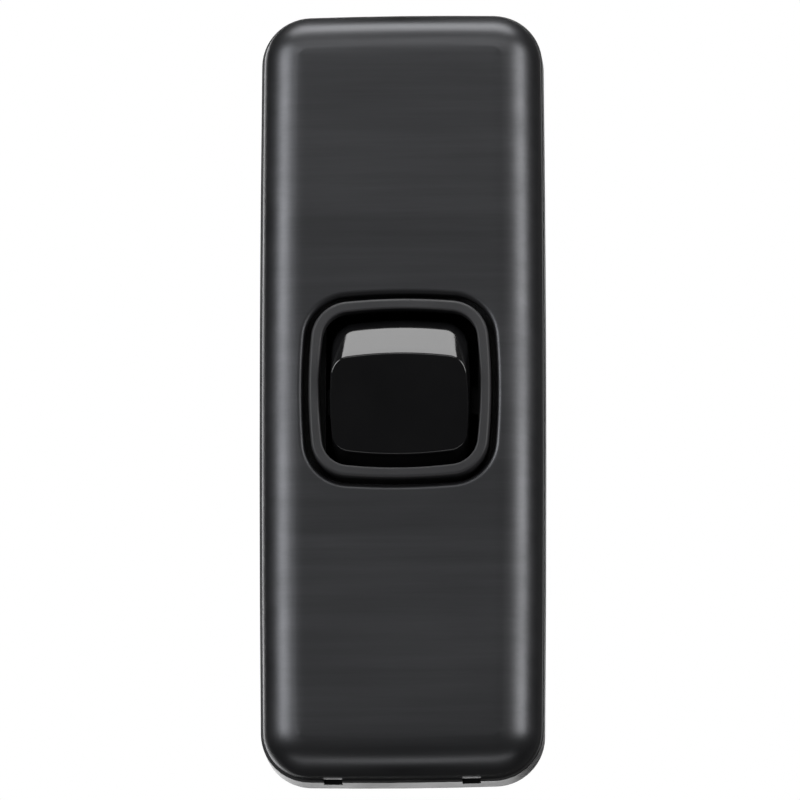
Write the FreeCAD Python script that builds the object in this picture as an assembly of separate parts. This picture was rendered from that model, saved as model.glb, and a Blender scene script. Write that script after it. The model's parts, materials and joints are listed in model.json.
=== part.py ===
import FreeCAD, Part
import math
import os

# Rocker wall switch in a narrow upright plate, in millimetres.
# X points right, Z up, and the front faces -Y. The plane Y = 0 is the wall, and the origin is
# the centre of the two wall-screw holes. Depths called "out" are measured forward from the wall.

V = FreeCAD.Vector
ACROSS = V(1, 0, 0)
BACK = V(0, 1, 0)
UP = V(0, 0, 1)

# Driving dimensions: plate
PLATE_WIDTH = 40.2
PLATE_HEIGHT = 110.0
PLATE_BOW = 0.35
PLATE_CORNER = 7.0
SKIRT_OUT = 5.2
SKIRT_WALL = 2.2
SKIRT_EDGE = 0.35
FACE_OUT = 10.8
COVER_STEP = 0.4
COVER_SHEET = 1.2
COVER_ROUNDING = 5.4
WINDOW_ROLL = 0.8
HOLE_SPACING = 84.0
HOLE_RADIUS = 1.9

# Inside the plate: web, wall inside the cover, ribs, screw bosses, clips, notches
WEB_BACK_OUT = 2.2
WEB_FRONT_OUT = 4.0
LIP_OUT = 6.3
LIP_WALL = 1.2
LIP_GAP = 0.4
LIP_INSET = COVER_STEP + COVER_SHEET + LIP_GAP
RIB_X = 9.5
RIB_SHEET = 1.2
RIB_START = 20.0
RIB_END = 50.0
BOSS_RADIUS = 4.6
BOSS_OUT = 5.6
RECESS_RADIUS = 3.6
RECESS_DEPTH = 2.0
CLIP_PLACES = (-34.0, -16.0, 16.0, 34.0)
CLIP_SHEET = 0.25
CLIP_LENGTH = 6.0
CLIP_GAP = 0.1
NOTCH_X = 9.7
NOTCH_WIDTH = 2.6
NOTCH_DEPTH = 2.0

# Collar: ring, flange and snap legs
COLLAR_SIZE = 25.6
COLLAR_BOW = 1.0
COLLAR_CORNER = 5.4
COLLAR_WALL = 1.45
COLLAR_OUT = 11.8
COLLAR_LIP = 2.0
COLLAR_RELIEF = 0.75
COLLAR_EDGE = 0.45
COLLAR_INNER_EDGE = 0.3
CUTOUT_GAP = 0.8
FLANGE_SHEET = 1.2
FLANGE_OUT = WEB_FRONT_OUT + FLANGE_SHEET
FLANGE_WIDTH = 30.0
FLANGE_HEIGHT = 35.0
FLANGE_CORNER = 2.0
LEG_WIDTH = 6.0
LEG_SHEET = 1.0
LEG_OUT = 1.2
LEG_Z = 16.2
HOOK_SHEET = 0.8
LEG_SLOT = 2.1
LEG_PLAY = 0.6

# Rocker, its face, and the pins it turns on
ROCKER_WIDTH = 19.9
ROCKER_HEIGHT = 22.3
ROCKER_BOW_SIDE = 0.7
ROCKER_BOW_END = 0.8
ROCKER_CORNER = 3.6
ROCKER_FACE_WIDTH = 19.4
ROCKER_FACE_HEIGHT = 14.15
FACE_BOW_SIDE = 0.5
FACE_BOW_END = 0.85
FACE_CORNER = 2.6
FACE_EDGE = 0.25
ROCKER_WALL = 1.5
ROCKER_TILT = 16.0
PIVOT_OUT = 4.05
PIVOT_TO_FACE = 9.0
PIVOT_TO_SHOULDER = 4.0
PIVOT_TO_SKIRT = -0.5
BOSS_TO_PIVOT = 2.0
PIN_RADIUS = 1.0
PIN_START = 5.0
PIN_END = 8.9
RUNNING_GAP = 0.05

# Spring drive behind the rocker
PLUNGER_RADIUS = 1.5
PLUNGER_REACH = 7.9
PLUNGER_START = 1.4
SPIGOT_RADIUS = 0.6
SPIGOT_LENGTH = 1.6
SPRING_START = -4.2
BORE_START = -5.2
SPRING_WIRE_RADIUS = 0.2
SPRING_COILS = 6
STEM_RADIUS = 2.5
STEM_REACH = 5.6
STEM_RIB_SHEET = 1.2
STEM_RIB_START = 2.7

# Contacts
ARM_TILT = 9.0
ARM_PIVOT_BACK = 5.2
ARM_SHEET = 0.8
ARM_WIDTH = 4.0
ARM_HALF = 8.0
ARM_FACE = ARM_PIVOT_BACK - 0.4 - ARM_SHEET
WING_SLOPE = math.radians(24)
WING_INNER = 1.0
WING_OUTER = 4.0
WING_RISE = (WING_OUTER - WING_INNER) * math.tan(WING_SLOPE)
TIP_RADIUS = 1.3
TIP_PLACE = 6.6
TIP_RISE = 0.5
TIP_SEAT = 0.14
FIXED_FACE = 5.2
FIXED_Z = 7.0
FIXED_TIP = 0.6
STRIP_SHEET = 0.8
STRIP_WIDTH = 3.0
STRIP_TAIL = 4.0
BLADE_RADIUS = 0.37
BLADE_FOOT = 2.4

# Housing, its ears, the terminal block and the cap
HOUSING_WIDTH = 24.0
HOUSING_HEIGHT = 27.6
HOUSING_WALL = 1.3
HOUSING_CORNER = 1.5
HOUSING_PLAY = 0.4
HOUSING_RIM_WIDTH = 27.6
HOUSING_RIM_HEIGHT = 30.8
FLOOR_BACK = 8.0
FLOOR_SHEET = 1.2
EAR_X = 5.0
EAR_SHEET = 2.0
EAR_RADIUS = 1.9
EAR_BACK = 1.0
EAR_BRIDGE = 2.5
BLOCK_BACK = 17.0
CAP_SHEET = 1.6
CAP_HEIGHT = 13.2
CAP_CORNER = 1.2
CAP_SCREW_Z = 4.0
CAP_SCREW_RADIUS = 0.9
CAP_HEAD_RADIUS = 1.9
CAP_HEAD_SUNK = 0.8
CAP_HEAD_PROUD = 0.2

# Terminals and clamp screws
TERMINAL_SIZE = 5.6
TERMINAL_LENGTH = 6.8
TERMINAL_X = 7.0
TERMINAL_Z = 8.6
TERMINAL_PLAY = 0.2
TERMINAL_EDGE = 0.3
WIRE_RADIUS = 1.8
SCREW_Y = 13.0
SCREW_RADIUS = 1.2
SCREW_POINT = 0.4
SCREW_HEAD_RADIUS = 1.9
SCREW_HEAD = 1.6
SCREW_LENGTH = 3.0
SCREW_SLOT = 0.6

# Earthing of the metal cover
EARTH_Z = -25.0
EARTH_BACK = 6.0
EARTH_SIZE = 6.0
EARTH_SCREW_Y = 3.0
RIVET_RADIUS = 1.2
RIVET_PROUD = 0.4
EARTH_SHEET = 0.4
EARTH_STRIP_WIDTH = 4.0
EARTH_PRESS = 0.25

# Cuts start and end clear of every piece
CUT_FRONT = -20.0
CUT_BACK = 30.0


# Shapes that the pieces are made from

def block(x0, x1, y0, y1, z0, z1):
    """A box between two corners."""
    return Part.makeBox(x1 - x0, y1 - y0, z1 - z0, V(x0, y0, z0))


def centred(width, y0, y1, height, x=0.0, z=0.0):
    """A box centred on (x, z) that runs from y0 to y1."""
    return block(x - width / 2, x + width / 2, y0, y1, z - height / 2, z + height / 2)


def rod(radius, y0, y1, x=0.0, z=0.0):
    """A cylinder along Y."""
    return Part.makeCylinder(radius, y1 - y0, V(x, y0, z), BACK)


def bowed_outline(width, height, bow_side, bow_end, corner, y):
    """A rectangle with gently bowed sides and round corners, as a wire in the plane Y = y.
    Every stretch is an arc, and each corner arc is tangent to the two beside it."""
    a = width / 2
    b = height / 2
    side_radius = (b * b + bow_side * bow_side) / (2 * bow_side)
    end_radius = (a * a + bow_end * bow_end) / (2 * bow_end)
    side_x = a - side_radius
    end_z = b - end_radius
    reach_side = side_radius - corner
    reach_end = end_radius - corner
    apart = math.hypot(side_x, end_z)
    along = (reach_side ** 2 - reach_end ** 2 + apart ** 2) / (2 * apart)
    off = math.sqrt(reach_side ** 2 - along ** 2)
    to_x = -side_x / apart
    to_z = end_z / apart
    centre_x = side_x + along * to_x - off * to_z
    centre_z = along * to_z + off * to_x
    if centre_x < 0 or centre_z < 0:
        centre_x = side_x + along * to_x + off * to_z
        centre_z = along * to_z - off * to_x
    side_angle = math.atan2(centre_z, centre_x - side_x)
    end_angle = math.atan2(centre_z - end_z, centre_x)
    side_point = (side_x + side_radius * math.cos(side_angle), side_radius * math.sin(side_angle))
    end_point = (end_radius * math.cos(end_angle), end_z + end_radius * math.sin(end_angle))
    middle = (side_angle + end_angle) / 2
    corner_point = (centre_x + corner * math.cos(middle), centre_z + corner * math.sin(middle))
    edges = []
    for sx, sz in ((1, 1), (-1, 1), (-1, -1), (1, -1)):
        points = [V(sx * px, y, sz * pz) for px, pz in (side_point, corner_point, end_point)]
        if sx * sz < 0:
            points.reverse()
        edges.append(Part.Arc(*points).toShape())
        if sx * sz > 0:
            across = V(0, y, sz * b)
            nearest = V(-sx * end_point[0], y, sz * end_point[1])
        else:
            across = V(sx * a, y, 0)
            nearest = V(sx * side_point[0], y, -sz * side_point[1])
        edges.append(Part.Arc(points[-1], across, nearest).toShape())
    return Part.Wire(edges)


def bowed_prism(width, height, bow, corner, y0, y1):
    """A solid with the bowed outline that runs from y0 to y1."""
    outline = bowed_outline(width, height, bow, bow, corner, y0)
    return Part.Face(outline).extrude(V(0, y1 - y0, 0))


def edges_at(shape, y, inside_x=None):
    """The edges of a shape that lie in the plane Y = y, at most inside_x from the middle."""
    found = []
    for edge in shape.Edges:
        box = edge.BoundBox
        flat = abs(box.YMin - y) < 1e-4 and abs(box.YMax - y) < 1e-4
        near = inside_x is None or max(abs(box.XMin), abs(box.XMax)) < inside_x
        if flat and near:
            found.append(edge)
    return found


def upright_edges(shape):
    """The edges of a shape that run along Y."""
    return [edge for edge in shape.Edges if abs(edge.tangentAt(edge.FirstParameter).y) > 0.9]


def profile(points, x0, x1):
    """A closed (y, z) outline of straight lines, extruded from x0 to x1."""
    corners = [V(x0, y, z) for y, z in points]
    return Part.Face(Part.makePolygon(corners + corners[:1])).extrude(V(x1 - x0, 0, 0))


def turned(points):
    """A solid of revolution about the Y axis. Its points are (y, radius)."""
    corners = [V(r, y, 0) for y, r in points]
    return Part.Face(Part.makePolygon(corners + corners[:1])).revolve(V(0, 0, 0), BACK, 360)


def at_rest(shape, tilt, pivot_y):
    """Turn a piece from its middle position to its rest position about a cross pivot."""
    placed = shape.copy()
    placed.rotate(V(0, pivot_y, 0), ACROSS, tilt)
    return placed


def save(name, *solids):
    """Write one sub-part, which may be a group of separate solids."""
    shape = solids[0] if len(solids) == 1 else Part.makeCompound(list(solids))
    if not shape.isValid():
        raise ValueError(name + " is not a valid shape")
    shape.exportStep("parts/" + name + ".step")


# Plate: mounting frame, cover, springs

def mounting_frame():
    """Plastic frame on the wall: a skirt, a web across it, a wall inside the cover, bosses."""
    outer = bowed_prism(PLATE_WIDTH, PLATE_HEIGHT, PLATE_BOW, PLATE_CORNER, -SKIRT_OUT, 0)
    outer = outer.makeFillet(SKIRT_EDGE, edges_at(outer, -SKIRT_OUT))
    rim = 2 * SKIRT_WALL
    inner_corner = PLATE_CORNER - SKIRT_WALL
    inner = bowed_prism(PLATE_WIDTH - rim, PLATE_HEIGHT - rim, PLATE_BOW, inner_corner,
                        CUT_FRONT, CUT_BACK)
    web = bowed_prism(PLATE_WIDTH - SKIRT_WALL, PLATE_HEIGHT - SKIRT_WALL, PLATE_BOW,
                      PLATE_CORNER - SKIRT_WALL / 2, -WEB_FRONT_OUT, -WEB_BACK_OUT)
    lip_width = PLATE_WIDTH - 2 * LIP_INSET
    lip_height = PLATE_HEIGHT - 2 * LIP_INSET
    lip_corner = PLATE_CORNER - LIP_INSET
    lip = bowed_prism(lip_width, lip_height, PLATE_BOW, lip_corner, -LIP_OUT, -WEB_BACK_OUT)
    lip = lip.cut(bowed_prism(lip_width - 2 * LIP_WALL, lip_height - 2 * LIP_WALL, PLATE_BOW,
                              lip_corner - LIP_WALL, CUT_FRONT, CUT_BACK))
    frame = outer.cut(inner).fuse([web, lip])
    for side in (-1, 1):
        z = side * HOLE_SPACING / 2
        frame = frame.fuse(rod(BOSS_RADIUS, -BOSS_OUT, 0, 0, z))
        middle = side * (RIB_START + RIB_END) / 2
        for x in (-RIB_X, RIB_X):
            frame = frame.fuse(centred(RIB_SHEET, -SKIRT_OUT, -WEB_BACK_OUT, RIB_END - RIB_START,
                                       x, middle))
    cuts = [centred(HOUSING_WIDTH + HOUSING_PLAY, CUT_FRONT, CUT_BACK,
                    HOUSING_HEIGHT + HOUSING_PLAY)]
    for side in (-1, 1):
        z = side * HOLE_SPACING / 2
        cuts.append(rod(HOLE_RADIUS, CUT_FRONT, CUT_BACK, 0, z))
        cuts.append(rod(RECESS_RADIUS, CUT_FRONT, -BOSS_OUT + RECESS_DEPTH, 0, z))
        slot_z = LEG_Z + (HOOK_SHEET + 0.1) / 2
        cuts.append(centred(LEG_WIDTH + LEG_PLAY, CUT_FRONT, CUT_BACK, LEG_SLOT, 0, side * slot_z))
    for x in (-NOTCH_X, NOTCH_X):
        floor = -SKIRT_OUT + NOTCH_DEPTH
        edge = -PLATE_HEIGHT / 2
        cuts.append(centred(NOTCH_WIDTH, CUT_FRONT, floor, NOTCH_WIDTH, x, edge))
        cuts.append(rod(NOTCH_WIDTH / 2, CUT_FRONT, floor, x, edge + NOTCH_WIDTH / 2))
    cuts.append(rod(RIVET_RADIUS, CUT_FRONT, CUT_BACK, 0, EARTH_Z))
    return frame.cut(cuts).removeSplitter()


def cover_plate():
    """Satin metal cover: a shallow pan with a fully rounded edge and a window."""
    width = PLATE_WIDTH - 2 * COVER_STEP
    height = PLATE_HEIGHT - 2 * COVER_STEP
    corner = PLATE_CORNER - COVER_STEP
    outer = bowed_prism(width, height, PLATE_BOW, corner, -FACE_OUT, -SKIRT_OUT)
    outer = outer.makeFillet(COVER_ROUNDING, edges_at(outer, -FACE_OUT))
    thick = 2 * COVER_SHEET
    inner = bowed_prism(width - thick, height - thick, PLATE_BOW, corner - COVER_SHEET,
                        -FACE_OUT + COVER_SHEET, -SKIRT_OUT)
    inner = inner.makeFillet(COVER_ROUNDING - COVER_SHEET, edges_at(inner, -FACE_OUT + COVER_SHEET))
    size = COLLAR_SIZE + 2 * CUTOUT_GAP
    window = bowed_prism(size, size, COLLAR_BOW, COLLAR_CORNER + CUTOUT_GAP, CUT_FRONT, CUT_BACK)
    cover = outer.cut(inner).cut(window)
    return cover.makeFillet(WINDOW_ROLL, edges_at(cover, -FACE_OUT, size / 2 + 0.5))


def cover_springs():
    """Eight spring-steel clips that straddle the inner wall and grip the cover."""
    clips = []
    wall = PLATE_WIDTH / 2 - LIP_INSET
    for z in CLIP_PLACES:
        for side in (-1, 1):
            bow = PLATE_BOW * (2 * z / PLATE_HEIGHT) ** 2
            outside = wall - bow
            near = outside - LIP_WALL - CLIP_GAP
            low = z - CLIP_LENGTH / 2
            high = z + CLIP_LENGTH / 2
            cap = block(near - CLIP_SHEET, outside, -LIP_OUT - CLIP_SHEET, -LIP_OUT, low, high)
            tail = block(near - CLIP_SHEET, near, -LIP_OUT, -WEB_FRONT_OUT, low, high)
            clip = cap.fuse(tail).removeSplitter()
            if side < 0:
                clip = clip.mirror(V(0, 0, 0), ACROSS)
            clips.append(clip)
    return clips


# Switch module: collar, housing, cap

def switch_collar():
    """Square ring with bowed sides round the rocker, with a flange and two snap legs."""
    tube = bowed_prism(COLLAR_SIZE, COLLAR_SIZE, COLLAR_BOW, COLLAR_CORNER, -COLLAR_OUT, -FLANGE_OUT)
    tube = tube.makeFillet(COLLAR_EDGE, edges_at(tube, -COLLAR_OUT))
    opening_size = COLLAR_SIZE - 2 * COLLAR_WALL
    opening = bowed_prism(opening_size, opening_size, COLLAR_BOW, COLLAR_CORNER - COLLAR_WALL,
                          CUT_FRONT, CUT_BACK)
    relief_size = opening_size + 2 * COLLAR_RELIEF
    relief = bowed_prism(relief_size, relief_size, COLLAR_BOW, COLLAR_CORNER - COLLAR_WALL,
                         -COLLAR_OUT + COLLAR_LIP, CUT_BACK)
    flange = centred(FLANGE_WIDTH, -FLANGE_OUT - FLANGE_SHEET, -FLANGE_OUT, FLANGE_HEIGHT)
    flange = flange.makeFillet(FLANGE_CORNER, upright_edges(flange))
    collar = tube.fuse(flange).cut([opening, relief])
    inner_edges = edges_at(collar, -COLLAR_OUT, opening_size / 2 + 0.4)
    collar = collar.makeFillet(COLLAR_INNER_EDGE, inner_edges)
    for side in (-1, 1):
        leg = centred(LEG_WIDTH, -FLANGE_OUT, -LEG_OUT, LEG_SHEET, 0, side * LEG_Z)
        hook_z = side * (LEG_Z + (LEG_SHEET + HOOK_SHEET) / 2)
        hook = centred(LEG_WIDTH, -WEB_BACK_OUT + RUNNING_GAP, -LEG_OUT, HOOK_SHEET, 0, hook_z)
        collar = collar.fuse([leg, hook])
    return collar.removeSplitter()


def terminal_places():
    """Name and (x, z) centre of each wire terminal."""
    return (("common", -TERMINAL_X, TERMINAL_Z), ("one", TERMINAL_X, TERMINAL_Z),
            ("loop", -TERMINAL_X, -TERMINAL_Z), ("two", TERMINAL_X, -TERMINAL_Z))


def ear(side):
    """An arm from the side wall of the housing that ends in a round tab round the pivot."""
    near = side * EAR_X
    far = side * (EAR_X + EAR_SHEET)
    wall = side * (HOUSING_WIDTH / 2 - HOUSING_WALL + 0.2)
    tab = Part.makeCylinder(EAR_RADIUS, EAR_SHEET, V(min(near, far), -PIVOT_OUT, 0), ACROSS)
    post = block(min(near, far), max(near, far), -PIVOT_OUT, EAR_BACK, -EAR_RADIUS, EAR_RADIUS)
    bridge = block(min(near, wall), max(near, wall), EAR_BACK - EAR_BRIDGE, EAR_BACK,
                   -EAR_RADIUS, EAR_RADIUS)
    return tab.fuse([post, bridge])


def switch_housing():
    """Box behind the wall that holds the contacts, with a flange and the two pivot ears."""
    body = centred(HOUSING_WIDTH, -FLANGE_OUT, FLOOR_BACK + FLOOR_SHEET, HOUSING_HEIGHT)
    body = body.makeFillet(HOUSING_CORNER, upright_edges(body))
    body = body.fuse(centred(HOUSING_RIM_WIDTH, -FLANGE_OUT, -WEB_FRONT_OUT, HOUSING_RIM_HEIGHT))
    inside_width = HOUSING_WIDTH - 2 * HOUSING_WALL
    inside_height = HOUSING_HEIGHT - 2 * HOUSING_WALL
    body = body.cut(centred(inside_width, CUT_FRONT, FLOOR_BACK, inside_height))
    body = body.fuse([ear(-1), ear(1)])
    cuts = [Part.makeCylinder(PIN_RADIUS, 2 * PIN_END, V(-PIN_END, -PIVOT_OUT, 0), ACROSS)]
    for name, x, z in terminal_places():
        if name != "loop":
            cuts.append(strip_slot(x, z))
    for x, z in cap_screw_places():
        cuts.append(rod(CAP_SCREW_RADIUS, FLOOR_BACK - 1, CUT_BACK, x, z))
    return body.cut(cuts).removeSplitter()


def strip_slot(x, z):
    """The slot through which a contact strip reaches its terminal at (x, z)."""
    middle = x - math.copysign(TERMINAL_SIZE / 2 + STRIP_SHEET / 2, x)
    return centred(STRIP_SHEET, FLOOR_BACK - 1, FLOOR_BACK + STRIP_TAIL,
                   STRIP_WIDTH + TERMINAL_PLAY, middle, z)


def terminal_block():
    """Moulding behind the housing with four pockets, each open behind and to its screw."""
    start = FLOOR_BACK + FLOOR_SHEET
    body = centred(HOUSING_WIDTH, start, BLOCK_BACK, HOUSING_HEIGHT)
    body = body.makeFillet(HOUSING_CORNER, upright_edges(body))
    pocket = TERMINAL_SIZE + TERMINAL_PLAY
    driver_way = 2 * (SCREW_HEAD_RADIUS + TERMINAL_PLAY)
    cuts = []
    for name, x, z in terminal_places():
        cuts.append(centred(pocket, start, CUT_BACK, pocket, x, z))
        outer = math.copysign(HOUSING_HEIGHT, z)
        cuts.append(block(x - driver_way / 2, x + driver_way / 2, SCREW_Y - driver_way / 2,
                          CUT_BACK, min(z, outer), max(z, outer)))
        cuts.append(strip_slot(x, z))
    for x, z in cap_screw_places():
        cuts.append(rod(CAP_SCREW_RADIUS + 0.1, start - 1, CUT_BACK, x, z))
    return body.cut(cuts).removeSplitter()


def cap_screw_places():
    """Centres of the two screws that hold the rear cap and the terminal block."""
    return ((0.0, CAP_SCREW_Z), (0.0, -CAP_SCREW_Z))


def rear_cap():
    """Plate across the middle of the terminal block that keeps the terminals in."""
    cap = centred(HOUSING_WIDTH, BLOCK_BACK, BLOCK_BACK + CAP_SHEET, CAP_HEIGHT)
    back = BLOCK_BACK + CAP_SHEET
    cap = cap.makeFillet(CAP_CORNER, upright_edges(cap))
    cap = cap.makeChamfer(TERMINAL_EDGE, edges_at(cap, back))
    cuts = []
    for x, z in cap_screw_places():
        cuts.append(rod(CAP_SCREW_RADIUS + 0.2, CUT_FRONT, CUT_BACK, x, z))
        cuts.append(rod(CAP_HEAD_RADIUS + 0.2, back - CAP_HEAD_SUNK, CUT_BACK, x, z))
    return cap.cut(cuts)


def cap_screws():
    """Two small pan-head screws through the cap and the terminal block."""
    screws = []
    back = BLOCK_BACK + CAP_SHEET
    for x, z in cap_screw_places():
        top = back + CAP_HEAD_PROUD
        screw = rod(CAP_SCREW_RADIUS, FLOOR_BACK + 0.3, back - CAP_HEAD_SUNK, x, z)
        screw = screw.fuse(rod(CAP_HEAD_RADIUS, back - CAP_HEAD_SUNK, top, x, z))
        slot = centred(SCREW_SLOT, top - SCREW_SLOT, CUT_BACK, 2 * CAP_HEAD_RADIUS + 1, x, z)
        screws.append(screw.cut(slot).removeSplitter())
    return screws


# Rocker and its spring drive, drawn with the rocker level and the pivot at the origin

def rocker_block(shrink):
    """The rocker's body, with a slope above and below its face, made smaller by shrink."""
    width = ROCKER_WIDTH - 2 * shrink
    height = ROCKER_HEIGHT - 2 * shrink
    corner = ROCKER_CORNER - shrink
    skirt = bowed_outline(width, height, ROCKER_BOW_SIDE, ROCKER_BOW_END, corner, -PIVOT_TO_SKIRT)
    shoulder = bowed_outline(width, height, ROCKER_BOW_SIDE, ROCKER_BOW_END, corner,
                             -PIVOT_TO_SHOULDER + shrink * 0.4)
    face = bowed_outline(ROCKER_FACE_WIDTH - 2 * shrink, ROCKER_FACE_HEIGHT - shrink,
                         FACE_BOW_SIDE, FACE_BOW_END, FACE_CORNER - shrink,
                         -PIVOT_TO_FACE + shrink)
    sides = Part.makeLoft([skirt, shoulder], True, True)
    return sides.fuse(Part.makeLoft([shoulder, face], True, True)).removeSplitter()


def rocker():
    """Hollow gloss rocker with a stem behind it for the plunger and bosses for the pins."""
    shell = rocker_block(0)
    shell = shell.makeFillet(FACE_EDGE, edges_at(shell, -PIVOT_TO_FACE))
    hollow = rocker_block(ROCKER_WALL)
    inside = -PIVOT_TO_FACE + 1
    reach = ROCKER_WIDTH / 2 - ROCKER_WALL / 2
    stem = rod(STEM_RADIUS, inside, STEM_REACH)
    rib = block(-reach, reach, inside, -STEM_RIB_START, -STEM_RIB_SHEET / 2, STEM_RIB_SHEET / 2)
    body = shell.cut(hollow).fuse([stem, rib])
    for side in (-1, 1):
        boss = sorted((side * reach, side * (EAR_X + EAR_SHEET + 0.2)))
        body = body.fuse(Part.makeCylinder(BOSS_TO_PIVOT, boss[1] - boss[0], V(boss[0], 0, 0),
                                           ACROSS))
    cuts = [rod(PLUNGER_RADIUS + RUNNING_GAP, BORE_START, CUT_BACK)]
    for side in (-1, 1):
        hole = sorted((side * (PIN_END + 0.1), side * PIN_START))
        cuts.append(Part.makeCylinder(PIN_RADIUS + RUNNING_GAP, hole[1] - hole[0],
                                      V(hole[0], 0, 0), ACROSS))
    return body.cut(cuts).removeSplitter()


def pivot_pins():
    """Two steel pins, pressed into the ears, on which the rocker turns."""
    pins = []
    for side in (-1, 1):
        start = min(side * PIN_START, side * PIN_END)
        base = V(start, -PIVOT_OUT, 0)
        pins.append(Part.makeCylinder(PIN_RADIUS, PIN_END - PIN_START, base, ACROSS))
    return pins


def plunger():
    """Nylon plunger with a round nose and a spigot for the spring."""
    nose = PLUNGER_REACH - PLUNGER_RADIUS
    body = rod(PLUNGER_RADIUS, PLUNGER_START, nose)
    ball = Part.makeSphere(PLUNGER_RADIUS, V(0, nose, 0))
    spigot = rod(SPIGOT_RADIUS, PLUNGER_START - SPIGOT_LENGTH, PLUNGER_START)
    return body.fuse([ball, spigot]).removeSplitter()


def plunger_spring():
    """Compression spring behind the plunger."""
    coil_radius = PLUNGER_RADIUS - SPRING_WIRE_RADIUS - 0.15
    length = PLUNGER_START - SPRING_START - 2 * SPRING_WIRE_RADIUS
    helix = Part.makeHelix(length / SPRING_COILS, length, coil_radius)
    section = Part.Wire(Part.makeCircle(SPRING_WIRE_RADIUS, V(coil_radius, 0, 0), BACK))
    spring = Part.Wire(helix).makePipeShell([section], True, True)
    spring.rotate(V(0, 0, 0), ACROSS, -90)
    spring.translate(V(0, SPRING_START + SPRING_WIRE_RADIUS, 0))
    return spring


# Contacts, drawn level, with the contact arm's fulcrum on the Y axis

def moving_contact():
    """Bent brass arm: a flat middle on the fulcrum, two raised wings and two level ends."""
    wing_y = ARM_FACE - WING_RISE
    front = [(wing_y, -ARM_HALF), (wing_y, -WING_OUTER), (ARM_FACE, -WING_INNER),
             (ARM_FACE, WING_INNER), (wing_y, WING_OUTER), (wing_y, ARM_HALF)]
    back = [(y + ARM_SHEET, z) for y, z in reversed(front)]
    return profile(front + back, -ARM_WIDTH / 2, ARM_WIDTH / 2)


def moving_tips():
    """The two domed silver tips behind the ends of the contact arm."""
    seat = ARM_FACE - WING_RISE + ARM_SHEET
    crown = seat + TIP_SEAT + TIP_RISE
    dome = (TIP_RADIUS ** 2 + TIP_RISE ** 2) / (2 * TIP_RISE)
    tips = []
    for side in (-1, 1):
        ball = Part.makeSphere(dome, V(0, crown - dome, side * TIP_PLACE))
        tips.append(rod(TIP_RADIUS, seat, crown, 0, side * TIP_PLACE).common(ball))
    return tips


def fixed_tips():
    """The two silver tips on the fixed contacts."""
    return [rod(TIP_RADIUS, FIXED_FACE, FIXED_FACE + FIXED_TIP, 0, side * FIXED_Z)
            for side in (-1, 1)]


def fixed_contact(side):
    """Brass strip from a terminal to the seat of its fixed tip."""
    seat = FIXED_FACE + FIXED_TIP
    inner = TERMINAL_X - TERMINAL_SIZE / 2 - STRIP_SHEET
    outer = inner + STRIP_SHEET
    half = STRIP_WIDTH / 2
    low = min(side * FIXED_Z, side * TERMINAL_Z) - half
    high = max(side * FIXED_Z, side * TERMINAL_Z) + half
    foot = block(-ARM_WIDTH / 2, outer, seat, seat + STRIP_SHEET, side * FIXED_Z - half,
                 side * FIXED_Z + half)
    leg = centred(STRIP_SHEET, seat, FLOOR_BACK + STRIP_TAIL, STRIP_WIDTH, (inner + outer) / 2,
                  side * TERMINAL_Z)
    bridge = block(inner, outer, seat, seat + STRIP_SHEET, low, high)
    return foot.fuse([leg, bridge]).removeSplitter()


def common_contact():
    """Brass strip from the common terminal to the knife edge that carries the arm."""
    outer = -(TERMINAL_X - TERMINAL_SIZE / 2)
    inner = outer + STRIP_SHEET
    foot_y = FLOOR_BACK - STRIP_SHEET
    half = ARM_WIDTH / 2
    leg = centred(STRIP_SHEET, foot_y, FLOOR_BACK + STRIP_TAIL, STRIP_WIDTH, (inner + outer) / 2,
                  TERMINAL_Z)
    run = block(outer, inner, foot_y, FLOOR_BACK, -BLADE_FOOT / 2, TERMINAL_Z + STRIP_WIDTH / 2)
    foot = block(outer, half, foot_y, FLOOR_BACK, -BLADE_FOOT / 2, BLADE_FOOT / 2)
    blade = block(-half, half, ARM_PIVOT_BACK, FLOOR_BACK, -BLADE_RADIUS, BLADE_RADIUS)
    nose = Part.makeCylinder(BLADE_RADIUS, ARM_WIDTH, V(-half, ARM_PIVOT_BACK, 0), ACROSS)
    return leg.fuse([run, foot, blade, nose]).removeSplitter()


# Terminals and their screws

def terminal(x, z):
    """Brass tunnel terminal with a wire bore along Y and a screw hole from the outside."""
    start = FLOOR_BACK + FLOOR_SHEET + TERMINAL_PLAY
    body = centred(TERMINAL_SIZE, start, start + TERMINAL_LENGTH, TERMINAL_SIZE, x, z)
    body = body.makeChamfer(TERMINAL_EDGE, body.Edges)
    outward = 1 if z > 0 else -1
    bore = rod(WIRE_RADIUS, CUT_FRONT, CUT_BACK, x, z)
    tap = Part.makeCylinder(SCREW_RADIUS + RUNNING_GAP, TERMINAL_SIZE, V(x, SCREW_Y, z),
                            UP * outward)
    return body.cut([bore, tap])


def clamp_screw(base, direction):
    """Slotted clamp screw that points from its head towards the base point."""
    top = SCREW_LENGTH + SCREW_HEAD
    edge = 0.2
    outline = [(0, 0), (0, SCREW_RADIUS - SCREW_POINT), (SCREW_POINT, SCREW_RADIUS),
               (SCREW_LENGTH, SCREW_RADIUS), (SCREW_LENGTH, SCREW_HEAD_RADIUS),
               (top - edge, SCREW_HEAD_RADIUS), (top, SCREW_HEAD_RADIUS - edge), (top, 0)]
    slot = centred(SCREW_SLOT, top - SCREW_HEAD / 2, CUT_BACK, 2 * SCREW_HEAD_RADIUS + 1)
    screw = turned(outline).cut(slot)
    screw.Placement = FreeCAD.Placement(base, FreeCAD.Rotation(BACK, direction))
    return screw


# Earthing of the metal cover

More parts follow.
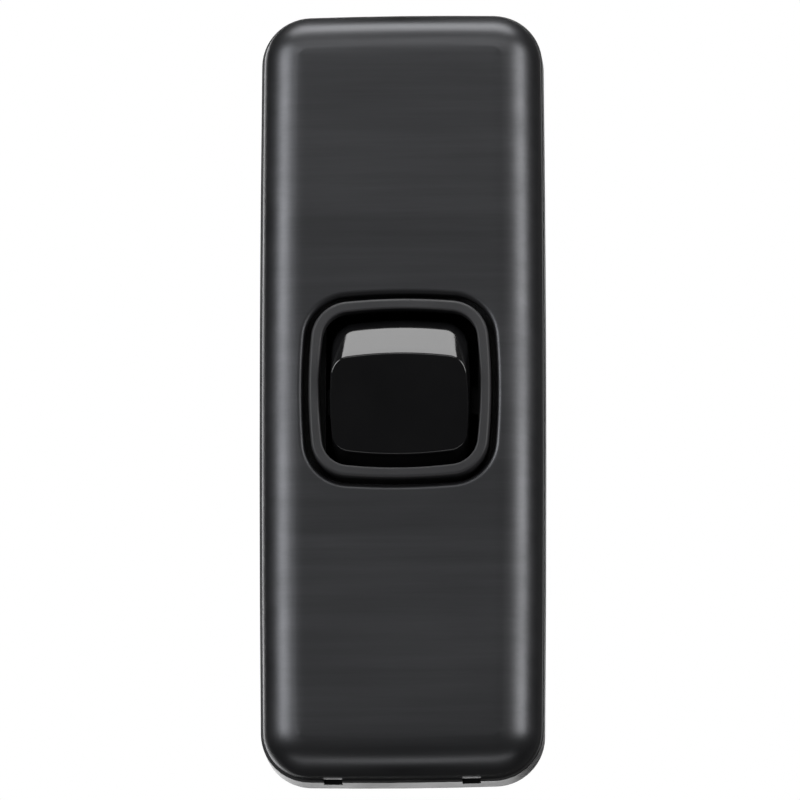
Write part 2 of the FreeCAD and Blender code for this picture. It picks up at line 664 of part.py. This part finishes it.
def earth_terminal():
    """Brass earth block on the back of the frame's web, riveted through it."""
    body = centred(EARTH_SIZE, -WEB_BACK_OUT, EARTH_BACK, EARTH_SIZE, 0, EARTH_Z)
    body = body.makeChamfer(TERMINAL_EDGE, edges_at(body, EARTH_BACK))
    rivet = rod(RIVET_RADIUS, -WEB_FRONT_OUT - RIVET_PROUD, -WEB_BACK_OUT, 0, EARTH_Z)
    bore = rod(WIRE_RADIUS, -WEB_BACK_OUT + 2.0, CUT_BACK, 0, EARTH_Z)
    tap = Part.makeCylinder(SCREW_RADIUS + RUNNING_GAP, EARTH_SIZE, V(0, EARTH_SCREW_Y, EARTH_Z),
                            -UP)
    return body.fuse(rivet).cut([bore, tap]).removeSplitter()


def earth_spring():
    """Bent spring strip from the earth rivet to the inside of the metal cover."""
    foot_y = -WEB_FRONT_OUT
    foot_end = EARTH_Z - 2.5
    bend = EARTH_Z + 1.6
    crest = EARTH_Z + 7.0
    tail = EARTH_Z + 9.0
    reach = -(FACE_OUT - COVER_SHEET) + EARTH_PRESS
    tail_y = reach + 1.2
    front = [(foot_y - EARTH_SHEET, foot_end), (foot_y - EARTH_SHEET, bend), (reach, crest),
             (tail_y, tail)]
    back = [(tail_y + EARTH_SHEET, tail - EARTH_SHEET), (reach + 1.2 * EARTH_SHEET, crest),
            (foot_y, bend + 0.3), (foot_y, foot_end)]
    strip = profile(front + back, -EARTH_STRIP_WIDTH / 2, EARTH_STRIP_WIDTH / 2)
    return strip.cut(rod(RIVET_RADIUS, CUT_FRONT, 0, 0, EARTH_Z))


def build():
    os.makedirs("parts", exist_ok=True)
    save("mounting_frame", mounting_frame())
    save("cover_plate", cover_plate())
    save("cover_springs", *cover_springs())
    save("switch_collar", switch_collar())
    save("switch_housing", switch_housing())
    save("terminal_block", terminal_block())
    save("rear_cap", rear_cap())
    save("cap_screws", *cap_screws())
    save("pivot_pins", *pivot_pins())
    for name, solid in (("rocker", rocker()), ("plunger", plunger()),
                        ("plunger_spring", plunger_spring())):
        solid.translate(V(0, -PIVOT_OUT, 0))
        save(name, at_rest(solid, ROCKER_TILT, -PIVOT_OUT))
    save("moving_contact", at_rest(moving_contact(), -ARM_TILT, ARM_PIVOT_BACK))
    save("moving_tips", *[at_rest(tip, -ARM_TILT, ARM_PIVOT_BACK) for tip in moving_tips()])
    save("fixed_contact_one", fixed_contact(1))
    save("fixed_contact_two", fixed_contact(-1))
    save("fixed_tips", *fixed_tips())
    save("common_contact", common_contact())
    for name, x, z in terminal_places():
        outward = 1 if z > 0 else -1
        save("terminal_" + name, terminal(x, z))
        base = V(x, SCREW_Y, z + outward * (WIRE_RADIUS + 0.1))
        save("terminal_screw_" + name, clamp_screw(base, UP * outward))
    save("earth_terminal", earth_terminal())
    save("earth_screw", clamp_screw(V(0, EARTH_SCREW_Y, EARTH_Z - WIRE_RADIUS - 0.1), -UP))
    save("earth_spring", earth_spring())


build()
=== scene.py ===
import json
import math

import bmesh
import bpy
from mathutils import Matrix, Vector

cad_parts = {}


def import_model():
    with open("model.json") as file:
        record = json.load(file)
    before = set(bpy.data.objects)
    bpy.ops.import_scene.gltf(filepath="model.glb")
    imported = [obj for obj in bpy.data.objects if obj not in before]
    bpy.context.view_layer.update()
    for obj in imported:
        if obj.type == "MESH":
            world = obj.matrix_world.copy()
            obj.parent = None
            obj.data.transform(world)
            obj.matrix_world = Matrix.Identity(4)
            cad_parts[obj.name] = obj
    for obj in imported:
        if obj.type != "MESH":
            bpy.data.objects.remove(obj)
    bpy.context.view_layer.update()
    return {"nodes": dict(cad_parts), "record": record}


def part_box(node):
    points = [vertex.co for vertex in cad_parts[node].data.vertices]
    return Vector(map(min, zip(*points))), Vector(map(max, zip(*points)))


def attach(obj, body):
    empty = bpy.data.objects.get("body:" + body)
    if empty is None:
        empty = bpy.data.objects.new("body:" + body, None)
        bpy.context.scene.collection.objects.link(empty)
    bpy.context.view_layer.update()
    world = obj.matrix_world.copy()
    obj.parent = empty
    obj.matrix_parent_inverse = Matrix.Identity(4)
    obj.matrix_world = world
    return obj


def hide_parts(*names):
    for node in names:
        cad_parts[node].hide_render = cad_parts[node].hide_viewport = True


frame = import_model()

# The visual model of a rocker wall switch, in metres. X points right, Z up, the front faces -Y
# and the wall is the plane Y = 0. "Out" is measured forward from the wall.

MM = 0.001
JOINTS = {joint["name"]: joint for joint in frame["record"]["behaviour"]["joints"]}

# Sizes read from the CAD frame
COVER_LOW, COVER_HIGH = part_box("cover_plate")
FACE_OUT = -COVER_LOW[1]
RIM_OUT = -COVER_HIGH[1]
COVER_WIDTH = COVER_HIGH[0] - COVER_LOW[0]
COVER_HEIGHT = COVER_HIGH[2] - COVER_LOW[2]
PIVOT = Vector(JOINTS["rocker_turn"]["pos_m"])

# Cover. Its edge is a superellipse quarter, and its rings of points blend from the outline,
# BLEND_INSET from the edge, to the window.
PLATE_BOW = 0.33 * MM
COVER_CORNER = 6.6 * MM
COVER_SHEET = 1.2 * MM
COVER_ROUNDING = 6.4 * MM
ROUNDING_POWER = 2.3
RIM_ROUND = 0.15 * MM
BLEND_INSET = 5.0 * MM
BLEND_STEPS = 12
WINDOW = 27.2 * MM
WINDOW_BOW = 1.0 * MM
WINDOW_CORNER = 6.2 * MM
WINDOW_ROLL = 0.8 * MM
FLAT_MARGIN = 0.1 * MM

# Rocker. Distances out are from the pivot, with the rocker level.
ROCKER = (19.9 * MM, 22.3 * MM)
ROCKER_BOWS = (0.7 * MM, 0.8 * MM)
ROCKER_CORNER = 3.6 * MM
ROCKER_FACE = (19.4 * MM, 14.15 * MM)
FACE_BOWS = (0.5 * MM, 0.85 * MM)
FACE_CORNER = 2.6 * MM
FACE_EDGE = 0.22 * MM
SHOULDER_ROUND = 1.3 * MM
ROCKER_TILT = math.radians(16)
ROCKER_SKIRT_OUT = -0.5 * MM
ROCKER_SHOULDER_OUT = 4.0 * MM
ROCKER_FACE_OUT = 9.0 * MM
ROCKER_WALL = 1.5 * MM
ROCKER_RIM = 0.1 * MM
SLOPE_ROWS = 4

# How finely curves are divided
SIDE_STEPS = 40
CORNER_STEPS = 20
ARC_STEPS = 14
ROLL_STEPS = ARC_STEPS // 2
FACE_EDGE_STEPS = 6
EDGE_STEPS = 28

# Stage, world and camera
FLOOR_HALF = 3.0
FLOOR_Z = -0.6
DIM_LIGHT = 0.06
CAMERA_AZIMUTH = math.radians(3.2)
CAMERA_BELOW = math.radians(11.2)
CAMERA_DISTANCE = 1.8
CAMERA_FIELD = 112.9 * MM
CAMERA_AIM = Vector((-0.57 * MM, 0, 0.57 * MM))
SENSOR = 36


# Outlines and shells

def bowed_outline(width, height, bow_side, bow_end, corner):
    """Points (x, z) round a rectangle with bowed sides and round corners, anticlockwise."""
    a = width / 2
    b = height / 2
    side_radius = (b * b + bow_side * bow_side) / (2 * bow_side)
    end_radius = (a * a + bow_end * bow_end) / (2 * bow_end)
    side_x = a - side_radius
    end_z = b - end_radius
    reach_side = side_radius - corner
    reach_end = end_radius - corner
    apart = math.hypot(side_x, end_z)
    along = (reach_side ** 2 - reach_end ** 2 + apart ** 2) / (2 * apart)
    off = math.sqrt(reach_side ** 2 - along ** 2)
    to_x = -side_x / apart
    to_z = end_z / apart
    centre_x = side_x + along * to_x - off * to_z
    centre_z = along * to_z + off * to_x
    if centre_x < 0 or centre_z < 0:
        centre_x = side_x + along * to_x + off * to_z
        centre_z = along * to_z - off * to_x
    side_angle = math.atan2(centre_z, centre_x - side_x)
    end_angle = math.atan2(centre_z - end_z, centre_x)
    quarter = []
    for step in range(SIDE_STEPS):
        angle = side_angle * step / SIDE_STEPS
        quarter.append((side_x + side_radius * math.cos(angle), side_radius * math.sin(angle)))
    for step in range(CORNER_STEPS):
        angle = side_angle + (end_angle - side_angle) * step / CORNER_STEPS
        quarter.append((centre_x + corner * math.cos(angle), centre_z + corner * math.sin(angle)))
    for step in range(SIDE_STEPS):
        angle = end_angle + (math.pi / 2 - end_angle) * step / SIDE_STEPS
        quarter.append((end_radius * math.cos(angle), end_z + end_radius * math.sin(angle)))
    top = (0, b)
    right = quarter[0]
    upper_left = [(-x, z) for x, z in reversed(quarter[1:])]
    lower_left = [(-x, -z) for x, z in quarter]
    lower_right = [(x, -z) for x, z in reversed(quarter[1:])]
    return ([right] + quarter[1:] + [top] + upper_left + lower_left + [(0, -b)] + lower_right)


def ring(outline, out):
    """An outline as points in space, a distance out from the wall."""
    return [Vector((x, -out, z)) for x, z in outline]


def arc(steps, start=0.0, end=90.0):
    """Angles from start to end in equal steps, both ends included."""
    return [math.radians(start + (end - start) * step / steps) for step in range(steps + 1)]


def mesh_piece(name, rings, closed, cap_first=False, cap_last=False, sharp=35.0):
    """A smooth mesh through rings of points. Closed joins the last ring to the first."""
    mesh = bmesh.new()
    rows = [[mesh.verts.new(point) for point in points] for points in rings]
    pairs = list(zip(rows, rows[1:]))
    if closed:
        pairs.append((rows[-1], rows[0]))
    for row, following in pairs:
        for index in range(len(row)):
            after = (index + 1) % len(row)
            mesh.faces.new((row[index], row[after], following[after], following[index]))
    for wanted, row in ((cap_first, rows[0]), (cap_last, rows[-1])):
        if wanted:
            mesh.faces.new(row)
    bmesh.ops.recalc_face_normals(mesh, faces=mesh.faces)
    data = bpy.data.meshes.new(name)
    mesh.to_mesh(data)
    mesh.free()
    for face in data.polygons:
        face.use_smooth = True
    data.set_sharp_from_angle(angle=math.radians(sharp))
    piece = bpy.data.objects.new(name, data)
    bpy.context.scene.collection.objects.link(piece)
    return piece


# Materials

class Nodes:
    """A small helper for building one material's nodes."""

    def __init__(self, name, **settings):
        self.material = bpy.data.materials.new(name)
        self.material.use_nodes = True
        self.tree = self.material.node_tree
        self.shader = self.tree.nodes["Principled BSDF"]
        for socket, value in settings.items():
            self.shader.inputs[socket.replace("_", " ")].default_value = value

    def add(self, kind, **values):
        node = self.tree.nodes.new(kind)
        for key, value in values.items():
            if key in node.inputs:
                node.inputs[key].default_value = value
            else:
                setattr(node, key, value)
        return node

    def link(self, source, target):
        self.tree.links.new(source, target)

    def grain(self, scale, stretch=(1, 1, 1), detail=6.0, rough=0.6):
        """Noise in object space, stretched along the axes."""
        place = self.add("ShaderNodeTexCoord")
        mapping = self.add("ShaderNodeMapping")
        mapping.inputs["Scale"].default_value = stretch
        noise = self.add("ShaderNodeTexNoise", Scale=scale, Detail=detail, Roughness=rough)
        self.link(place.outputs["Object"], mapping.inputs["Vector"])
        self.link(mapping.outputs["Vector"], noise.inputs["Vector"])
        return noise.outputs["Fac"]

    def spread(self, value, low, high):
        """Map a value from 0.3..0.7 to low..high."""
        node = self.add("ShaderNodeMapRange")
        node.inputs["From Min"].default_value = 0.3
        node.inputs["From Max"].default_value = 0.7
        node.inputs["To Min"].default_value = low
        node.inputs["To Max"].default_value = high
        self.link(value, node.inputs["Value"])
        return node.outputs["Result"]

    def tint(self, value, low, high):
        """A colour that runs from low to high with a value."""
        ramp = self.add("ShaderNodeValToRGB")
        ramp.color_ramp.elements[0].position = 0.3
        ramp.color_ramp.elements[1].position = 0.7
        ramp.color_ramp.elements[0].color = (*low, 1)
        ramp.color_ramp.elements[1].color = (*high, 1)
        self.link(value, ramp.inputs["Fac"])
        self.link(ramp.outputs["Color"], self.shader.inputs["Base Color"])

    def rough(self, value):
        self.link(value, self.shader.inputs["Roughness"])

    def bump(self, heights, strength=0.3):
        """Stack bumps. Heights are (value, distance in metres)."""
        normal = None
        for value, distance in heights:
            node = self.add("ShaderNodeBump", Strength=strength, Distance=distance)
            self.link(value, node.inputs["Height"])
            if normal:
                self.link(normal, node.inputs["Normal"])
            normal = node.outputs["Normal"]
        self.link(normal, self.shader.inputs["Normal"])


def black_metal():
    """Satin black metal, brushed across the plate."""
    m = Nodes("satin_black_metal", Metallic=0.95, Anisotropic=0.35)
    streaks = m.grain(420, (0.035, 1, 1), 8, 0.7)
    cloud = m.grain(60, (0.3, 1, 1), 3)
    m.tint(streaks, (0.078, 0.079, 0.083), (0.1, 0.101, 0.106))
    m.rough(m.spread(cloud, 0.36, 0.42))
    m.bump([(streaks, 0.00001)], 0.25)
    return m.material


def moulded(name, low, high, roughness, grain_scale=900, bump=0.00003, **settings):
    """Moulded plastic with a fine spark-eroded texture."""
    m = Nodes(name, **settings)
    fine = m.grain(grain_scale, detail=4)
    cloud = m.grain(70, detail=3)
    m.tint(cloud, low, high)
    m.rough(m.spread(cloud, roughness - 0.04, roughness + 0.05))
    m.bump([(fine, bump)], 0.35)
    return m.material


def gloss_black():
    """Polished black plastic with a faint waviness and hairline marks."""
    m = Nodes("gloss_black", IOR=1.5, Coat_Weight=0.3, Coat_Roughness=0.03)
    cloud = m.grain(90, detail=3)
    hair = m.grain(700, (1, 1, 0.08), 8, 0.75)
    m.tint(cloud, (0.004, 0.004, 0.0045), (0.006, 0.006, 0.0065))
    m.rough(m.spread(hair, 0.1, 0.17))
    m.bump([(cloud, 0.00003)], 0.12)
    return m.material


def metal(name, low, high, roughness, scale=500, stretch=(1, 1, 1), **settings):
    """Bare metal with drawn or stamped streaks."""
    m = Nodes(name, Metallic=1.0, **settings)
    streaks = m.grain(scale, stretch, 6, 0.65)
    stain = m.grain(140, detail=4)
    m.tint(stain, low, high)
    m.rough(m.spread(streaks, roughness - 0.07, roughness + 0.1))
    m.bump([(streaks, 0.00002)], 0.3)
    return m.material


MATERIALS = {
    "frame_plastic": moulded("frame_plastic", (0.02, 0.02, 0.021), (0.03, 0.03, 0.031), 0.42),
    "collar_plastic": moulded("collar_plastic", (0.028, 0.028, 0.03), (0.036, 0.036, 0.038), 0.5),
    "housing_plastic": moulded("housing_plastic", (0.02, 0.02, 0.021), (0.03, 0.03, 0.031), 0.5),
    "cap_plastic": moulded("cap_plastic", (0.26, 0.26, 0.27), (0.32, 0.32, 0.33), 0.5),
    "nylon": moulded("nylon", (0.74, 0.72, 0.66), (0.84, 0.82, 0.76), 0.4,
                     Subsurface_Weight=0.1, Subsurface_Scale=0.001),
    "cover_metal": black_metal(),
    "rocker_gloss": gloss_black(),
    "spring_steel": metal("spring_steel", (0.42, 0.43, 0.45), (0.56, 0.57, 0.59), 0.25),
    "screw_steel": metal("screw_steel", (0.56, 0.54, 0.48), (0.68, 0.67, 0.63), 0.32),
    "pin_steel": metal("pin_steel", (0.5, 0.5, 0.51), (0.62, 0.62, 0.63), 0.22, 600,
                       (1, 0.05, 0.05)),
    "brass": metal("brass", (0.68, 0.47, 0.2), (0.82, 0.6, 0.28), 0.3, 500, (1, 1, 0.1)),
    "silver": metal("silver", (0.82, 0.81, 0.78), (0.92, 0.91, 0.89), 0.28),
}


# Pieces that stand for CAD nodes

def finish_piece(piece, node, body, slot):
    """Give a new piece its material and body, and hide the CAD node that it stands for."""
    piece.data.materials.append(MATERIALS[slot])
    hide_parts(node)
    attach(piece, body)


def rounding_profile():
    """The cover's edge in section, from the side wall to the face: a superellipse quarter, which
    meets both without a jump in curvature. Each pair is (across, up) from 0 to 1."""
    pairs = []
    for angle in arc(EDGE_STEPS):
        across = max(math.cos(angle), 0.0) ** (2 / ROUNDING_POWER)
        pairs.append((across, math.sin(angle) ** (2 / ROUNDING_POWER)))
    return pairs


def face_drop(x, z):
    """How far the cover's rounded front lies behind its middle at a point (x, z)."""
    from_side = COVER_WIDTH / 2 - PLATE_BOW * (2 * z / COVER_HEIGHT) ** 2 - abs(x)
    from_end = COVER_HEIGHT / 2 - PLATE_BOW * (2 * x / COVER_WIDTH) ** 2 - abs(z)
    across = max(0.0, 1 - min(from_side, from_end) / COVER_ROUNDING)
    up = (1 - across ** ROUNDING_POWER) ** (1 / ROUNDING_POWER)
    return (FACE_OUT - RIM_OUT - RIM_ROUND) * (1 - up)


def laid_ring(outline, drop=0.0):
    """An outline laid on the cover's rounded front, or a drop behind it."""
    return [Vector((x, -(FACE_OUT - drop - face_drop(x, z)), z)) for x, z in outline]


def cover():
    """The metal cover: rim, side, full rounding, face, rolled window edge, and its inside."""
    def outline(inset):
        return bowed_outline(COVER_WIDTH - 2 * inset, COVER_HEIGHT - 2 * inset,
                             PLATE_BOW, PLATE_BOW, COVER_CORNER - inset)

    def window(grow):
        size = WINDOW + 2 * grow
        return bowed_outline(size, size, WINDOW_BOW, WINDOW_BOW, WINDOW_CORNER + grow)

    rise = FACE_OUT - RIM_OUT - RIM_ROUND
    rings = [ring(outline(COVER_SHEET - RIM_ROUND), RIM_OUT),
             ring(outline(RIM_ROUND), RIM_OUT),
             ring(outline(0), RIM_OUT + RIM_ROUND)]
    for across, up in rounding_profile():
        inset = COVER_ROUNDING * (1 - across)
        if inset < BLEND_INSET - 0.1 * MM:
            rings.append(ring(outline(inset), RIM_OUT + RIM_ROUND + rise * up))
    outside = outline(BLEND_INSET)
    inside = window(WINDOW_ROLL + FLAT_MARGIN)
    for step in range(BLEND_STEPS + 1):
        share = (step / BLEND_STEPS) ** 2
        between = [(x + (to_x - x) * share, z + (to_z - z) * share)
                   for (x, z), (to_x, to_z) in zip(outside, inside)]
        rings.append(laid_ring(between))
    for angle in arc(ROLL_STEPS):
        rings.append(laid_ring(window(WINDOW_ROLL * (1 - math.sin(angle))),
                               WINDOW_ROLL * (1 - math.cos(angle))))
    rings.append(ring(window(0), FACE_OUT - COVER_SHEET - RIM_ROUND))
    inner_round = COVER_ROUNDING - COVER_SHEET
    for across, up in reversed(rounding_profile()):
        inset = COVER_SHEET + inner_round * (1 - across)
        if inset < BLEND_INSET + 0.5 * MM:
            rings.append(ring(outline(inset), RIM_OUT + RIM_ROUND + (rise - COVER_SHEET) * up))
    rings.append(ring(outline(COVER_SHEET), RIM_OUT + RIM_ROUND))
    piece = mesh_piece("cover", rings, True, sharp=50)
    finish_piece(piece, "cover_plate", "cover", "cover_metal")


def rocker_outline(share, shrink):
    """The rocker's outline from its shoulder (share 0) to its face (share 1), made smaller."""
    def between(first, last):
        return first + (last - first) * share

    return bowed_outline(between(ROCKER[0], ROCKER_FACE[0]) - 2 * shrink,
                         between(ROCKER[1], ROCKER_FACE[1]) - 2 * shrink,
                         between(ROCKER_BOWS[0], FACE_BOWS[0]),
                         between(ROCKER_BOWS[1], FACE_BOWS[1]),
                         max(between(ROCKER_CORNER, FACE_CORNER) - shrink, 0.2 * MM))


def rocker():
    """The gloss rocker, tilted to its rest position: skirt, rounded shoulder, slopes, face."""
    slope = ROCKER_FACE_OUT - ROCKER_SHOULDER_OUT
    straight = ROCKER_SHOULDER_OUT - SHOULDER_ROUND
    rings = [ring(rocker_outline(0, ROCKER_WALL), straight),
             ring(rocker_outline(0, ROCKER_WALL), ROCKER_SKIRT_OUT),
             ring(rocker_outline(0, ROCKER_RIM), ROCKER_SKIRT_OUT),
             ring(rocker_outline(0, 0), ROCKER_SKIRT_OUT + ROCKER_RIM),
             ring(rocker_outline(0, 0), (ROCKER_SKIRT_OUT + straight) / 2)]
    for step in range(ARC_STEPS + 1):
        along = step / ARC_STEPS
        out = straight + SHOULDER_ROUND * 2 * along
        rings.append(ring(rocker_outline(along * along * SHOULDER_ROUND / slope, 0), out))
    start = SHOULDER_ROUND / slope
    for row in range(1, SLOPE_ROWS + 1):
        share = start + (1 - start - FACE_EDGE / slope) * row / SLOPE_ROWS
        rings.append(ring(rocker_outline(share, 0), ROCKER_SHOULDER_OUT + slope * share))
    for angle in arc(FACE_EDGE_STEPS)[1:]:
        share = 1 - FACE_EDGE / slope * (1 - math.sin(angle))
        rings.append(ring(rocker_outline(share, FACE_EDGE * (1 - math.cos(angle))),
                          ROCKER_SHOULDER_OUT + slope * share))
    rings.append(ring(rocker_outline(1, 2 * FACE_EDGE), ROCKER_FACE_OUT))
    piece = mesh_piece("rocker", rings, False, True, True, 40)
    turn = Matrix.Translation(PIVOT) @ Matrix.Rotation(ROCKER_TILT, 4, "X")
    piece.data.transform(turn)
    finish_piece(piece, "rocker", "rocker_body", "rocker_gloss")


def dress_nodes():
    """Procedural materials for the CAD nodes that stay."""
    for part in frame["record"]["subparts"]:
        node = frame["nodes"][part["node"]]
        node.data.materials.clear()
        node.data.materials.append(MATERIALS[part["material_slot"]])


# Stage, lights and camera

def floor():
    """A pale floor well below the switch, kept out of its reflections."""
    mesh = bmesh.new()
    signs = ((-1, -1), (1, -1), (1, 1), (-1, 1))
    mesh.faces.new([mesh.verts.new((sx * FLOOR_HALF, sy * FLOOR_HALF, 0)) for sx, sy in signs])
    data = bpy.data.meshes.new("floor")
    mesh.to_mesh(data)
    mesh.free()
    piece = bpy.data.objects.new("floor", data)
    piece.location = (0, 0, FLOOR_Z)
    bpy.context.scene.collection.objects.link(piece)
    pale = Nodes("pale_floor", Base_Color=(0.9, 0.9, 0.9, 1), Roughness=0.9,
                 Emission_Color=(1, 1, 1, 1), Emission_Strength=0.6)
    data.materials.append(pale.material)
    piece.visible_glossy = False
    piece.visible_diffuse = False


def softbox(name, place, size, power, colour=(1, 1, 1)):
    """A rectangular light that faces the middle of the switch."""
    data = bpy.data.lights.new(name, "AREA")
    data.shape = "RECTANGLE"
    data.size, data.size_y = size
    data.energy = power
    data.color = colour
    light = bpy.data.objects.new(name, data)
    light.location = place
    light.rotation_euler = (-Vector(place)).to_track_quat("-Z", "Y").to_euler()
    bpy.context.scene.collection.objects.link(light)


def world():
    """White behind the object, and a dim even light on it."""
    scene = bpy.context.scene
    scene.world = bpy.data.worlds.new("studio")
    scene.world.use_nodes = True
    tree = scene.world.node_tree
    tree.nodes.clear()
    seen = tree.nodes.new("ShaderNodeBackground")
    seen.inputs["Color"].default_value = (1, 1, 1, 1)
    dim = tree.nodes.new("ShaderNodeBackground")
    dim.inputs["Color"].default_value = (1, 1, 1, 1)
    dim.inputs["Strength"].default_value = DIM_LIGHT
    path = tree.nodes.new("ShaderNodeLightPath")
    mix = tree.nodes.new("ShaderNodeMixShader")
    output = tree.nodes.new("ShaderNodeOutputWorld")
    tree.links.new(path.outputs["Is Camera Ray"], mix.inputs["Fac"])
    tree.links.new(dim.outputs["Background"], mix.inputs[1])
    tree.links.new(seen.outputs["Background"], mix.inputs[2])
    tree.links.new(mix.outputs["Shader"], output.inputs["Surface"])
    scene.view_settings.view_transform = "Standard"


def lights():
    """Soft boxes at the sides, above, in front, below and behind."""
    softbox("left", (-0.9, -0.85, 0.3), (0.5, 0.9), 8, (0.97, 0.98, 1))
    softbox("right", (1.0, -0.72, 0.3), (0.55, 0.9), 8)
    softbox("above", (0, -0.25, 1.1), (1.2, 0.5), 9)
    softbox("upper_front", (0, -0.32, 0.24), (0.3, 0.1), 0.14)
    softbox("below", (0, -0.25, -0.52), (0.8, 0.1), 0.45)
    softbox("back", (-0.3, 1.2, 0.05), (1.0, 1.0), 9)


def camera():
    """A long lens, a little below the switch and to its right."""
    towards = Vector((math.sin(CAMERA_AZIMUTH) * math.cos(CAMERA_BELOW),
                      -math.cos(CAMERA_AZIMUTH) * math.cos(CAMERA_BELOW),
                      -math.sin(CAMERA_BELOW)))
    data = bpy.data.cameras.new("camera")
    data.sensor_width = SENSOR
    data.lens = SENSOR * CAMERA_DISTANCE / CAMERA_FIELD
    data.clip_start = 0.01
    data.clip_end = 20
    item = bpy.data.objects.new("camera", data)
    item.location = CAMERA_AIM + towards * CAMERA_DISTANCE
    item.rotation_euler = (-towards).to_track_quat("-Z", "Y").to_euler()
    bpy.context.scene.collection.objects.link(item)
    bpy.context.scene.camera = item


dress_nodes()
cover()
rocker()
floor()
world()
lights()
camera()
